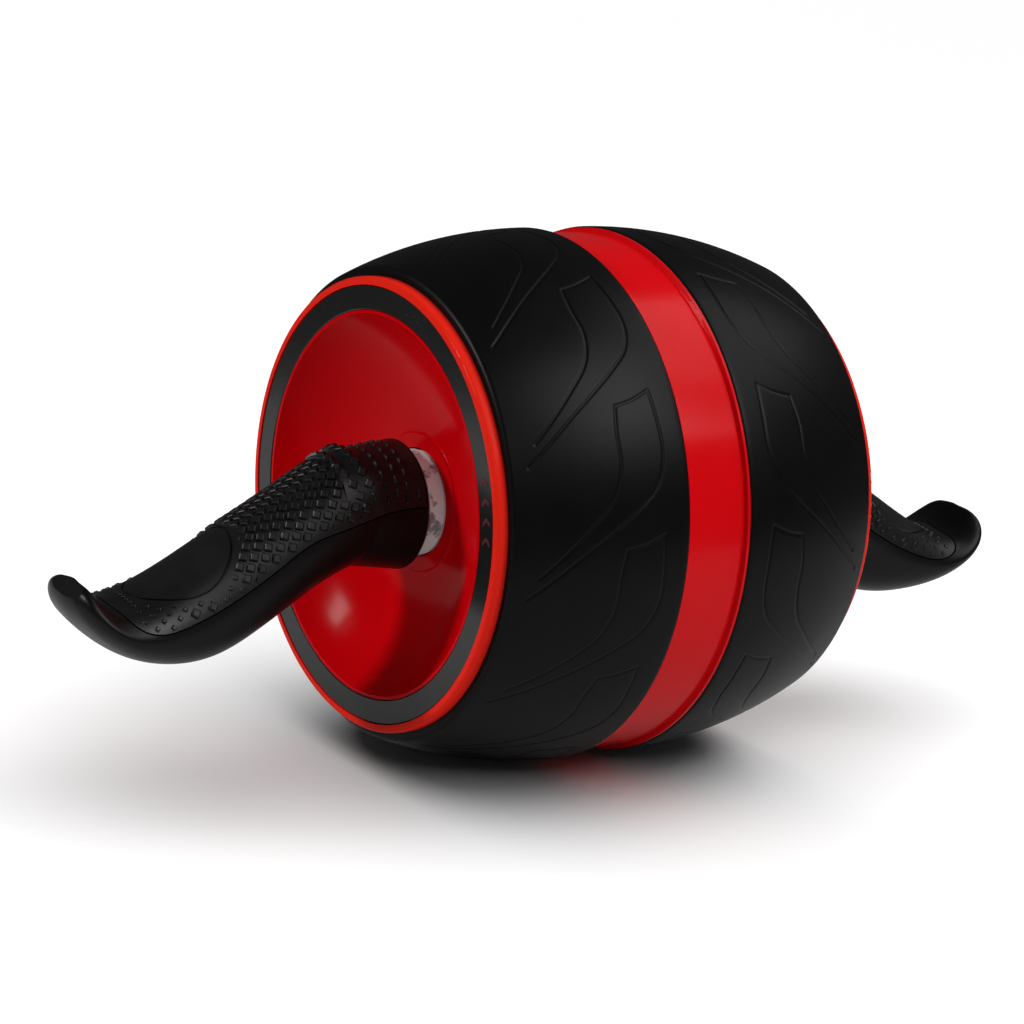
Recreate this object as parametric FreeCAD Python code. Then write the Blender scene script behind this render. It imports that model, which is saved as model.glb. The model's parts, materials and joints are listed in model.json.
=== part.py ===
import FreeCAD, Part
import math
import os

# Ab wheel roller. Millimetres, +Z up, axle along Y, origin at the middle of the wheel.
# The right half (+Y) is modelled and the left half is its mirror image.

V = FreeCAD.Vector
AXLE = V(0, 1, 0)
UP = V(0, 0, 1)
ORIGIN = V(0, 0, 0)

# Fits
seat_gap = 0.1             # between pieces pressed or glued on a round seat
running_clearance = 0.05   # bush on the axle tube, on the radius
screw_clearance = 0.15     # round screws and bolts
pin_clearance = 0.02
end_play = 0.1             # wheel along the axle

# Wheel and tyres
wheel_radius = 94.0        # tyre, beside the centre band
crown_arc = 166.0          # arc of the tyre's crown, seen in section
band_half_width = 12.8
tyre_width = 63.8
tyre_thickness = 6.0
tyre_shoulder = 2.2        # rounding of the tyre's outer edge
tyre_inner_edge = 0.9      # rounding beside the band
tyre_lap = 3.5             # rubber that laps over the rim

# Tread: outlines of curved blades, cut as V grooves into the crown
tread_blades = 12
tread_turn = -5.9          # from the top of the wheel to a blade's blunt end, degrees
groove_half_width = 1.0
groove_depth = 1.2
groove_over = 0.4          # the cutter stands this far above the rubber
# Edges of one blade: degrees round the wheel from its blunt end, and share of the tyre's width
blade_band_edge = [(-0.9, 0.160), (6.0, 0.149), (13.0, 0.149), (19.0, 0.202), (24.0, 0.331),
                   (33.5, 0.636), (43.0, 0.893)]
blade_rim_edge = [(1.9, 0.379), (8.0, 0.403), (15.0, 0.407), (21.5, 0.466), (27.5, 0.595), (38.0, 0.843)]
blade_blunt_end = [(-1.6, 0.149), (1.0, 0.273), (3.2, 0.400)]

# Centre band, below the tyre's edge
band_lip_below = 0.4
band_floor_below = 2.0
band_thickness = 5.9
band_lip_width = 1.0
band_lip_slope = 0.5

# Hub shell
wall = 3.0
rim_step = 1.3             # from the tyre's edge down to the rim
rim_height = 3.2           # rim beyond the tyre's end
rim_rounding = 1.5
rim_width = 3.0
ring_width = 8.6
ring_thickness = 1.6
ring_sunk = 0.4
ring_edge = 0.4
dish_lip = 1.1             # red edge inside the trim ring
dish_lip_sunk = 0.6
dish_depth = 20.0
boss_height = 0.8          # raised ring round the spacer sleeve
boss_land = 5.0
dish_land = 1.2            # level floor between boss and bowl
hub_wall = 5.0
rib_count = 6
rib_thickness = 2.4

# Axle, bearings and collar
tube_radius = 12.5
tube_wall = 2.0
bush_wall = 3.0
bush_flange_thickness = 2.5
bush_sunk = 2.5            # flange seat below the dish floor
washer_thickness = 1.0
sleeve_radius = 18.5
sleeve_length = 7.7
sleeve_gap = 0.5
sleeve_edge = 0.6
socket_depth = 27.0        # axle tube inside the handle
plug_length = 24.0

# Rewind spring
strip_thickness = 0.8
strip_half_width = 10.5
spring_turns = 9
arbor_wall = 4.5
arbor_gap = 1.2            # from the arbor to the first turn
drum_wall = 6.0
drum_floor = 2.0
drum_side_gap = 1.5
drum_flange_thickness = 3.0
drum_flange_margin = 5.3   # flange outside the screw circle
drum_post_gap = 9.8        # from the hub's screw posts to the drum
anchor_radius = 1.5
anchor_clearance = 0.2
anchor_sunk = 1.5
hook_gap = 0.8             # from the spring's hook to the drum wall
pin_radius = 2.0
slot_depth = 3.0

# Screws
screw_count = 6
hub_screw_radius = 2.0
hub_screw_length = 22.0
hub_screw_head = 3.0
hub_screw_head_height = 2.4
access_gap = 0.2
post_wall = 1.2
post_floor = 4.0
cover_screws = 4
cover_screw_radius = 1.5
cover_screw_length = 10.0
cover_screw_head = 2.7
cover_screw_head_height = 1.6
cover_screw_gap = 1.4
bolt_from_root = 17.0
bolt_radius = 3.0
bolt_head = 5.25
bolt_head_height = 3.3
bolt_head_rounding = 1.2
bolt_head_gap = 0.6
bolt_head_sunk = 4.2
bolt_tip = 6.0             # bolt above the axle's middle
bolt_socket = 2.0
bolt_socket_depth = 2.2

# Handle
root_radius = 22.6
root_taper = 4.0           # the neck is slimmer than the root, so the grip starts with a step
root_edge = 1.5
root_past_socket = 4.0
pad_inset = 1.5            # from the root's end to the pad
pad_thickness = 3.0
pad_seam_gap = 0.5         # parting line between pad and core
palm_rest_place = 76.5
palm_rest_half_length = 20.5
palm_rest_half_width = 17.0
palm_rest_slope = 28.0
palm_rest_line = 0.8
palm_rest_depth = 0.6
# Sections from the bend to the curled palm stop: top and bottom point (from the root's end, height), width
handle_sections = [
    ((24.5, 21.1), (10.6, -15.7), 41.0),
    ((33.6, 15.7), (21.0, -19.8), 40.2),
    ((42.8, 10.2), (31.3, -24.0), 39.5),
    ((57.6, 1.8), (45.1, -32.5), 39.0),
    ((72.4, -6.5), (58.4, -40.8), 40.0),
    ((86.0, -14.7), (73.8, -47.4), 41.5),
    ((97.9, -21.5), (91.3, -48.0), 43.0),
    ((106.7, -25.2), (106.9, -43.6), 44.0),
    ((113.8, -24.8), (117.8, -36.7), 42.5),
    ((119.9, -20.0), (125.2, -29.0), 35.0),
    ((123.4, -17.5), (126.9, -22.2), 20.0),
]
# Line where the soft pad ends, seen from the side: from the root's end, height
pad_seam = [(-2.0, 4.0), (17.7, 2.2), (31.6, -2.1), (42.4, -5.6), (55.0, -13.3), (65.3, -19.7),
            (76.0, -25.4), (88.7, -30.5), (100.5, -32.6), (109.0, -29.6), (113.6, -22.4), (115.7, -12.3)]

# Places that follow from the sizes
diagonal = 1 - math.sqrt(0.5)
crown_centre = wheel_radius - crown_arc


def crown(y, depth=0.0):
    """Radius of the crown at y, depth below the rubber's surface."""
    return crown_centre + math.sqrt((crown_arc - depth) ** 2 - (y - band_half_width) ** 2)


tyre_end = band_half_width + tyre_width
tyre_flange = tyre_end - tyre_lap
shoulder_start = tyre_end - tyre_shoulder
rim_radius = crown(shoulder_start) - tyre_shoulder - rim_step
rim_end = tyre_end + rim_height
ring_outer = rim_radius - rim_width
ring_inner = ring_outer - ring_width
ring_floor = rim_end - ring_sunk - ring_thickness
dish_edge = ring_inner - dish_lip
dish_lip_end = rim_end - dish_lip_sunk
dish_floor = rim_end - dish_depth
band_seat = wheel_radius - band_floor_below - band_thickness
bush_radius = tube_radius + bush_wall
bush_face = dish_floor - bush_sunk
hub_tube = bush_radius + hub_wall
counterbore = sleeve_radius + sleeve_gap
boss_radius = counterbore + boss_land
dish_flat = boss_radius + boss_height + dish_land
sleeve_start = bush_face + bush_flange_thickness + end_play + washer_thickness
root_start = sleeve_start + sleeve_length
tube_half_length = root_start + socket_depth
bolt_position = root_start + bolt_from_root
bolt_seat = root_radius - bolt_head_sunk - bolt_head_height
screw_circle = (ring_outer + ring_inner) / 2
access_radius = hub_screw_head + access_gap
post_radius = access_radius + post_wall
drum_outer = screw_circle - post_radius - drum_post_gap
drum_inner = drum_outer - drum_wall
drum_half_width = strip_half_width + drum_side_gap + drum_floor
drum_half_flange = drum_flange_thickness / 2
drum_bore = hub_tube + sleeve_gap
cover_screw_circle = (drum_inner + drum_outer) / 2
hub_tube_end = drum_half_width + cover_screw_head_height + cover_screw_gap
arbor_radius = tube_radius + arbor_wall
arbor_half_width = strip_half_width + drum_side_gap / 3
hook_radius = anchor_radius + anchor_clearance
spring_start = arbor_radius + arbor_gap + strip_thickness / 2
spring_end = drum_inner - hook_gap - 2 * hook_radius - 1.5 * strip_thickness
spring_pitch = (spring_end - spring_start) / spring_turns


def bowl(r, behind=0.0):
    """Place along the axle of the bowl, which leaves the floor level, or of its back face."""
    rise = dish_lip_end - dish_floor
    reach = dish_edge - dish_flat
    arc = (rise ** 2 + reach ** 2) / (2 * rise)
    return dish_floor + arc - math.sqrt((arc + behind) ** 2 - (r - dish_flat) ** 2)


def outline(points):
    """Closed outline in (y, r). An item ((y, r), (y, r)) is an arc through its first point."""
    edges = []
    last = V(0, *points[0])
    for item in points[1:] + [points[0]]:
        if isinstance(item[0], tuple):
            middle = V(0, *item[0])
            end = V(0, *item[1])
            arc = Part.Arc(last, middle, end).toShape()
            # A wide arc has its centre beyond the axle, so it is turned as a spline
            edges.append(arc.toNurbs().Edges[0] if arc.Curve.Radius > wheel_radius else arc)
        else:
            end = V(0, *item)
            if last.distanceToPoint(end) > 1e-6:
                edges.append(Part.makeLine(last, end))
        last = end
    return Part.Face(Part.Wire(edges))


def turned(points):
    """Solid of revolution round the axle."""
    return outline(points).revolve(ORIGIN, AXLE, 360)


def tube(inner, outer, start, end):
    return turned([(start, inner), (start, outer), (end, outer), (end, inner)])


def rod(radius, length, place, direction):
    return Part.makeCylinder(radius, length, place, direction)


def about_axle(shape, angle):
    copy = shape.copy()
    copy.rotate(ORIGIN, AXLE, angle)
    return copy


def mirrored(shape):
    return shape.mirror(ORIGIN, AXLE)


def fused(shapes):
    return shapes[0].multiFuse(shapes[1:]).removeSplitter()


def main_solid(shape):
    return max(shape.Solids, key=lambda solid: solid.Volume)


def on_circle(radius, y, angle):
    turn = math.radians(angle)
    return V(radius * math.sin(turn), y, radius * math.cos(turn))


def tyre():
    """Rubber ring whose crown and seat share one centre."""
    start = band_half_width
    middle = (start + tyre_end) / 2
    seat = tyre_thickness - seat_gap
    lap = rim_radius + seat_gap
    edge = tyre_inner_edge
    corner = tyre_shoulder * diagonal
    return turned([
        (start, crown(start, seat)),
        (start, wheel_radius - edge),
        ((start + edge * diagonal, wheel_radius - edge * diagonal), (start + edge, crown(start + edge))),
        ((middle, crown(middle)), (shoulder_start, crown(shoulder_start))),
        ((tyre_end - corner, crown(shoulder_start) - 1.4 * corner),
         (tyre_end, crown(shoulder_start) - tyre_shoulder)),
        (tyre_end, lap),
        (tyre_flange, lap),
        (tyre_flange, crown(tyre_flange, seat)),
        ((middle, crown(middle, seat)), (start, crown(start, seat))),
    ])


def groove(edge_points, stations):
    """V groove along a line drawn on the crown."""
    points = []
    for angle, share in edge_points:
        y = band_half_width + share * tyre_width
        points.append(on_circle(crown(y), y, angle))
    line = Part.BSplineCurve()
    line.interpolate(points)
    half = groove_half_width * (groove_depth + groove_over) / groove_depth
    wires = []
    for point in line.discretize(Number=stations):
        along = line.tangent(line.parameter(point))[0]
        outward = V(point.x, 0, point.z).normalize()
        point = outward * crown(point.y) + AXLE * point.y
        normal = (point - outward * crown_centre - AXLE * band_half_width).normalize()
        across = along.cross(normal).normalize() * half
        bottom = point - normal * groove_depth
        top = point + normal * groove_over
        wires.append(Part.makePolygon([bottom, top + across, top - across, bottom]))
    return Part.makeLoft(wires, True, True)


def treaded_tyre():
    """Tyre with the blade outlines cut round its crown, blunt ends beside the band."""
    blade = groove(blade_band_edge, 13).multiFuse([groove(blade_rim_edge, 11), groove(blade_blunt_end, 3)])
    cutters = [about_axle(blade, tread_turn + k * 360 / tread_blades) for k in range(tread_blades)]
    return tyre().cut(cutters)


def centre_band():
    half = band_half_width
    lip = half - band_lip_width
    foot = lip - band_lip_slope
    seat = band_seat + seat_gap
    top = wheel_radius - band_lip_below
    floor = wheel_radius - band_floor_below
    return turned([
        (-half, seat), (-half, top), (-lip, top), (-foot, floor),
        (foot, floor), (lip, top), (half, top), (half, seat),
    ])


def hub_shell():
    """Right half of the hub: outer wall, rolled rim, ring pocket, dish and bearing tube."""
    start = band_half_width
    middle = (start + tyre_flange) / 2
    inside = tyre_thickness + wall
    inner_end = tyre_flange - 0.6 * wall
    inner_middle = (start + inner_end) / 2
    corner = rim_rounding * diagonal
    bowl_middle = (dish_flat + dish_edge) / 2
    back_end = dish_edge - 0.6 * wall
    back_middle = (dish_flat + back_end) / 2
    boss_foot = boss_radius + boss_height
    bush_seat = bush_radius + seat_gap
    pocket_wall = ring_outer + seat_gap
    body = turned([
        (0, band_seat - wall), (0, band_seat), (start, band_seat),
        (start, crown(start, tyre_thickness)),
        ((middle, crown(middle, tyre_thickness)), (tyre_flange, crown(tyre_flange, tyre_thickness))),
        (tyre_flange, rim_radius),
        (rim_end - rim_rounding, rim_radius),
        ((rim_end - corner, rim_radius - corner), (rim_end, rim_radius - rim_rounding)),
        (rim_end, pocket_wall),
        (ring_floor, pocket_wall), (ring_floor, ring_inner), (dish_lip_end, ring_inner),
        (dish_lip_end, dish_edge),
        ((bowl(bowl_middle), bowl_middle), (dish_floor, dish_flat)),
        (dish_floor, boss_foot),
        ((dish_floor + boss_height * diagonal, boss_foot - boss_height * (1 - diagonal)),
         (dish_floor + boss_height, boss_radius)),
        (dish_floor + boss_height, counterbore),
        (bush_face, counterbore), (bush_face, bush_seat),
        (hub_tube_end, bush_seat), (hub_tube_end, hub_tube),
        (bush_face - wall, hub_tube), (dish_floor - wall, dish_flat),
        ((bowl(back_middle, wall), back_middle), (bowl(back_end, wall), back_end)),
        (inner_end, crown(inner_end, inside)),
        ((inner_middle, crown(inner_middle, inside)), (start, crown(start, inside))),
        (start, band_seat - wall),
    ])
    extra = []
    rib = hub_rib(inside)
    for k in range(rib_count):
        extra.append(about_axle(rib, (k + 0.5) * 360 / rib_count))
    depth = ring_floor - drum_half_flange
    for k in range(screw_count):
        place = on_circle(screw_circle, drum_half_flange, k * 360 / screw_count)
        extra.append(rod(post_radius, depth - ring_sunk, place, AXLE))
    body = fused([body] + extra)
    holes = []
    for k in range(screw_count):
        angle = k * 360 / screw_count
        if k % 2 == 0:
            seat = on_circle(screw_circle, drum_half_flange + post_floor, angle)
            holes.append(rod(access_radius, depth, seat, AXLE))
        place = on_circle(screw_circle, 0, angle)
        holes.append(rod(hub_screw_radius + screw_clearance, hub_screw_length, place, AXLE))
    return body.cut(Part.makeCompound(holes))


def hub_rib(inside):
    """Radial web between the bearing tube, the bowl's back and the outer wall."""
    sink = wall / 3
    first = hub_tube_end + wall
    far = tyre_flange - 2 * wall
    corners = [(first, hub_tube - sink), (bush_face - wall + sink, hub_tube - sink)]
    for share in (0.15, 0.5, 0.75):
        r = dish_flat + share * (dish_edge - dish_flat)
        corners.append((bowl(r, wall) + sink, r))
    for share in (1.0, 0.67, 0.33, 0.0):
        y = first + share * (far - first)
        corners.append((y, crown(y, inside) + sink))
    face = outline(corners)
    face.translate(V(-rib_thickness / 2, 0, 0))
    return face.extrude(V(rib_thickness, 0, 0))


def trim_ring():
    end = ring_floor + ring_thickness
    inner = ring_inner + seat_gap
    return turned([
        (ring_floor, inner), (ring_floor, ring_outer),
        (end - ring_edge, ring_outer), (end, ring_outer - ring_edge),
        (end, inner + ring_edge), (end - ring_edge, inner),
    ])


def hub_screws():
    """Screws driven from the two sides in turn."""
    screws = []
    seat = on_circle(screw_circle, drum_half_flange + post_floor, 0)
    head = rod(hub_screw_head, hub_screw_head_height, seat, AXLE)
    shank = rod(hub_screw_radius, hub_screw_length, seat, -AXLE)
    for k in range(screw_count):
        screw = about_axle(fused([head, shank]), k * 360 / screw_count)
        screws.append(screw if k % 2 == 0 else mirrored(screw))
    return Part.makeCompound(screws)


def bush():
    bore = tube_radius + running_clearance
    flange = sleeve_radius - sleeve_gap
    end = bush_face + bush_flange_thickness
    return turned([
        (hub_tube_end, bore), (hub_tube_end, bush_radius), (bush_face, bush_radius),
        (bush_face, flange), (end, flange), (end, bore),
    ])


def thrust_washer():
    start = sleeve_start - washer_thickness
    return tube(tube_radius + seat_gap, sleeve_radius - sleeve_gap, start, sleeve_start)


def spacer_sleeve():
    bore = tube_radius + seat_gap
    return turned([
        (sleeve_start, bore), (sleeve_start, sleeve_radius), (root_start - sleeve_edge, sleeve_radius),
        (root_start, sleeve_radius - sleeve_edge), (root_start, bore),
    ])


def axle_tube():
    body = tube(tube_radius - tube_wall, tube_radius, -tube_half_length, tube_half_length)
    holes = [rod(pin_radius, 4 * tube_radius, V(-2 * tube_radius, 0, 0), V(1, 0, 0))]
    for side in (-1, 1):
        middle = AXLE * side * bolt_position
        holes.append(rod(bolt_radius + screw_clearance, 2 * tube_radius, middle, -UP))
    return body.cut(Part.makeCompound(holes))


def axle_plug():
    body = rod(tube_radius - tube_wall - seat_gap / 2, plug_length,
               AXLE * (tube_half_length - plug_length), AXLE)
    hole = rod(bolt_radius + screw_clearance, 3 * tube_radius,
               AXLE * bolt_position + UP * (bolt_tip + screw_clearance), -UP)
    return body.cut(hole)


def handle_bolt():
    seat = AXLE * bolt_position - UP * bolt_seat
    end = seat - UP * bolt_head_height
    head = rod(bolt_head, bolt_head_height, seat, -UP)
    outer_edges = [e for e in head.Edges if e.BoundBox.ZMax < end.z + bolt_head_height / 2]
    head = head.makeFillet(min(bolt_head_rounding, bolt_head_height / 2), outer_edges)
    shank = rod(bolt_radius, bolt_seat + bolt_tip, seat, UP)
    corners = []
    for k in range(7):
        turn = math.radians(60 * k)
        corners.append(end + V(math.cos(turn), math.sin(turn), 0) * bolt_socket)
    socket = Part.Face(Part.makePolygon(corners)).extrude(UP * bolt_socket_depth)
    return fused([head, shank]).cut(socket)


def spring_arbor():
    """Sleeve pinned on the tube, with a slot for the spring's inner end."""
    body = tube(tube_radius + seat_gap, arbor_radius, -arbor_half_width, arbor_half_width)
    width = strip_thickness + 2 * anchor_clearance
    slot = Part.makeBox(width, 4 * arbor_half_width, arbor_radius,
                        V(-width / 2, -2 * arbor_half_width, slot_depth - 2 * arbor_radius))
    pin = rod(pin_radius, 4 * arbor_radius, V(-2 * arbor_radius, 0, 0), V(1, 0, 0))
    return body.cut(Part.makeCompound([slot, pin]))


def arbor_pin():
    length = 2 * arbor_radius - pin_radius / 2
    return rod(pin_radius - pin_clearance, length, V(-length / 2, 0, 0), V(1, 0, 0))


def spring_drum():
    """Open can with a flange that the hub posts clamp."""
    floor = drum_half_width - drum_floor
    flange = screw_circle + drum_flange_margin
    body = turned([
        (-drum_half_width, drum_bore), (-drum_half_width, drum_outer),
        (-drum_half_flange, drum_outer), (-drum_half_flange, flange),
        (drum_half_flange, flange), (drum_half_flange, drum_outer),
        (floor, drum_outer), (floor, drum_inner),
        (-floor, drum_inner), (-floor, drum_bore),
    ])
    holes = []
    for k in range(screw_count):
        place = on_circle(screw_circle, -drum_flange_thickness, k * 360 / screw_count)
        holes.append(rod(hub_screw_radius + screw_clearance, 2 * drum_flange_thickness, place, AXLE))
    anchor_foot = hook_centre() - AXLE * (floor + anchor_sunk)
    holes.append(rod(anchor_radius + pin_clearance, floor, anchor_foot, AXLE))
    return body.cut(Part.makeCompound(holes + cover_screw_holes()))


def cover_screw_holes():
    holes = []
    length = cover_screw_length + drum_floor
    for k in range(cover_screws):
        angle = (k + 0.5) * 360 / cover_screws
        place = on_circle(cover_screw_circle, drum_half_width + drum_floor / 2, angle)
        holes.append(rod(cover_screw_radius + screw_clearance, length, place, -AXLE))
    return holes


def drum_cover():
    body = tube(drum_bore, drum_outer, drum_half_width - drum_floor, drum_half_width)
    return body.cut(Part.makeCompound(cover_screw_holes()))


def drum_cover_screws():
    screws = []
    for k in range(cover_screws):
        place = on_circle(cover_screw_circle, drum_half_width, (k + 0.5) * 360 / cover_screws)
        shank = rod(cover_screw_radius, cover_screw_length, place, -AXLE)
        head = rod(cover_screw_head, cover_screw_head_height, place, AXLE)
        screws.append(fused([head, shank]))
    return Part.makeCompound(screws)


def spring_edge(offset):
    """Half-turn arcs that wind outwards round two centres, offset to one face of the strip."""
    edges = []
    for k in range(2 * spring_turns):
        shift = 0 if k % 2 == 0 else spring_pitch / 2
        side = 1 if k % 2 == 0 else -1
        radius = spring_start + k * spring_pitch / 2 + offset
        start = V(0, 0, -side * radius - shift)
        middle = V(side * radius, 0, -shift)
        end = V(0, 0, side * radius - shift)
        edges.append(Part.Arc(start, middle, end).toShape())
    return edges


def closed_strip(edges):
    """Flat area between two rows of edges, extruded to the spring's width."""
    face = Part.Face(Part.Wire(Part.__sortEdges__(edges)))
    strip = face.extrude(AXLE * 2 * strip_half_width)
    strip.translate(-AXLE * strip_half_width)
    return strip


def hook_centre():
    """Where the anchor pin stands: just outside the last turn."""
    return -UP * (spring_end + hook_radius + strip_thickness / 2)


def rewind_spring():
    """Flat strip wound round the arbor: straight inner tang, outer end hooked on the anchor pin."""
    half = strip_thickness / 2
    inner = spring_edge(-half)
    outer = spring_edge(half)
    ends = []
    for k in (0, -1):
        ends.append(Part.makeLine(outer[k].Vertexes[k].Point, inner[k].Vertexes[k].Point))
    coil = closed_strip(inner + outer + ends)
    tang_end = arbor_radius - slot_depth + anchor_clearance
    tang = Part.makeBox(strip_thickness, 2 * strip_half_width, spring_start + half - tang_end,
                        V(-half, -strip_half_width, -spring_start - half))
    centre = hook_centre()
    hook_outer = hook_radius + strip_thickness
    hook_edges = []
    for radius in (hook_radius, hook_outer):
        top = centre + UP * radius
        low = centre - UP * radius
        hook_edges.append(Part.Arc(top, centre + V(radius, 0, 0), low).toShape())
    for side in (UP, -UP):
        hook_edges.append(Part.makeLine(centre + side * hook_radius, centre + side * hook_outer))
    print("rewind_spring: least gap between turns", round(spring_pitch - strip_thickness, 2), "mm")
    return fused([coil, tang, closed_strip(hook_edges)])


def spring_anchor_pin():
    start = drum_floor - drum_half_width - anchor_sunk
    length = drum_half_width - drum_floor - start
    return rod(anchor_radius, length, hook_centre() + AXLE * start, AXLE)


def on_handle(point):
    """Point given from the root's end, in the part's frame."""
    return V(0, root_start + point[0], point[1])


def handle_section(top, bottom, width, shrink):
    """Oval across the handle, as a closed smooth curve through twelve points."""
    high = on_handle(top)
    low = on_handle(bottom)
    centre = (high + low) * 0.5
    up = (high - low) * 0.5
    height = up.Length - shrink
    up.normalize()
    side = V(width / 2 - shrink, 0, 0)
    points = []
    for k in range(12):
        turn = math.radians(30 * k)
        points.append(centre + up * (height * math.cos(turn)) + side * math.sin(turn))
    curve = Part.BSplineCurve()
    curve.interpolate(Points=points, PeriodicFlag=True)
    return Part.Wire(curve.toShape())


def handle_body(shrink=0.0):
    """Drooping body that thins out into the curled palm stop."""
    wires = []
    for top, bottom, width in handle_sections:
        thickness = math.dist(top, bottom)
        wires.append(handle_section(top, bottom, width, min(shrink, thickness / 3)))
    return Part.makeLoft(wires, True, False)


def handle_root(shrink=0.0):
    end = tube_half_length + root_past_socket
    return turned([
        (root_start, 0), (root_start, root_radius - root_edge - shrink),
        (root_start + root_edge, root_radius - shrink), (end, root_radius - root_taper - shrink), (end, 0),
    ])


def pad_zone(gap=0.0):
    """Everything above the seam, between the root's end and the palm stop, drawn in by a gap."""
    line = Part.BSplineCurve()
    line.interpolate([on_handle(p) for p in pad_seam])
    points = []
    for p in pad_seam:
        along = line.tangent(line.parameter(on_handle(p)))[0]
        points.append(on_handle(p) + V(1, 0, 0).cross(along) * gap)
    seam = Part.BSplineCurve()
    seam.interpolate(points)
    over_last = V(0, points[-1].y, wheel_radius)
    over_first = V(0, points[0].y, wheel_radius)
    loop = [seam.toShape(), Part.makeLine(points[-1], over_last),
            Part.makeLine(over_last, over_first), Part.makeLine(over_first, points[0])]
    face = Part.Face(Part.Wire(loop))
    face.translate(V(-wheel_radius, 0, 0))
    zone = face.extrude(V(2 * wheel_radius, 0, 0))
    return zone.cut(rod(wheel_radius, root_start + pad_inset + gap, ORIGIN, AXLE))


def palm_rest_groove():
    """Thin line round the smooth oval, sunk into the pad."""
    rings = []
    for grow in (0, -palm_rest_line):
        oval = Part.Ellipse(ORIGIN, palm_rest_half_length + grow, palm_rest_half_width + grow)
        face = Part.Face(Part.Wire(oval.toShape()))
        face.rotate(ORIGIN, UP, 90)
        rings.append(face.extrude(UP * wheel_radius))
    ring = rings[0].cut(rings[1])
    ring.rotate(ORIGIN, V(1, 0, 0), -palm_rest_slope)
    heights = [(t[0] + b[0], t[1] + b[1]) for t, b, w in handle_sections]
    near = min(heights, key=lambda pair: abs(pair[0] / 2 - palm_rest_place))
    ring.translate(on_handle((palm_rest_place, near[1] / 2)))
    return ring.cut(handle_body(palm_rest_depth))


def handle():
    """Right handle: hard core and soft pad from one outer form."""
    outer = fused([handle_body(), handle_root()])
    inner = fused([handle_body(pad_thickness), handle_root(pad_thickness)])
    core = outer.cut(main_solid(outer.common(pad_zone()).cut(inner)))
    pad = main_solid(outer.common(pad_zone(pad_seam_gap)).cut(inner))
    bore = rod(tube_radius + seat_gap, socket_depth + seat_gap, AXLE * root_start, AXLE)
    bolt_hole = rod(bolt_radius + screw_clearance, 2 * root_radius, AXLE * bolt_position, -UP)
    recess = rod(bolt_head + bolt_head_gap, root_radius, AXLE * bolt_position - UP * bolt_seat, -UP)
    core = main_solid(core.cut(bore).cut(bolt_hole).cut(recess))
    return core, pad.cut(palm_rest_groove())


def save(name, shape):
    shape.exportStep("parts/" + name + ".step")
    print(name, len(shape.Solids), "solid(s)", round(shape.Volume / 1000, 2), "cm3", shape.isValid())


def save_pair(name, shape, turn=0.0):
    save("right_" + name, shape)
    save("left_" + name, about_axle(mirrored(shape), turn))


os.makedirs("parts", exist_ok=True)
save_pair("hub_shell", hub_shell(), 360 / screw_count)
save("centre_band", centre_band())
save_pair("tyre", treaded_tyre())
save_pair("trim_ring", trim_ring())
save("hub_screws", hub_screws())
save_pair("bush", bush())
save("spring_drum", spring_drum())
save("drum_cover", drum_cover())
save("drum_cover_screws", drum_cover_screws())
save("rewind_spring", rewind_spring())
save("spring_anchor_pin", spring_anchor_pin())
save("axle_tube", axle_tube())
save("spring_arbor", spring_arbor())
save("arbor_pin", arbor_pin())
save_pair("thrust_washer", thrust_washer())
save_pair("spacer_sleeve", spacer_sleeve())
save_pair("axle_plug", axle_plug())
save_pair("handle_bolt", handle_bolt())
core, pad = handle()
save_pair("handle_core", core)
save_pair("grip_pad", pad)
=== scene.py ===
# %% [markdown]
# # An ab wheel roller, dressed around its construction model
#
# The construction model already holds every piece at its real size. This lesson gives it its looks:
# the moulded tread in the rubber, the studded grips, and a finish for each material. The axle lies along Y,
# the wheel's centre is the origin, +Z is up, and lengths are metres.

# %% Load the frame
import json
import math

import bpy
from mathutils import Matrix, Vector
from mathutils.bvhtree import BVHTree
from mathutils.kdtree import KDTree

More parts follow.
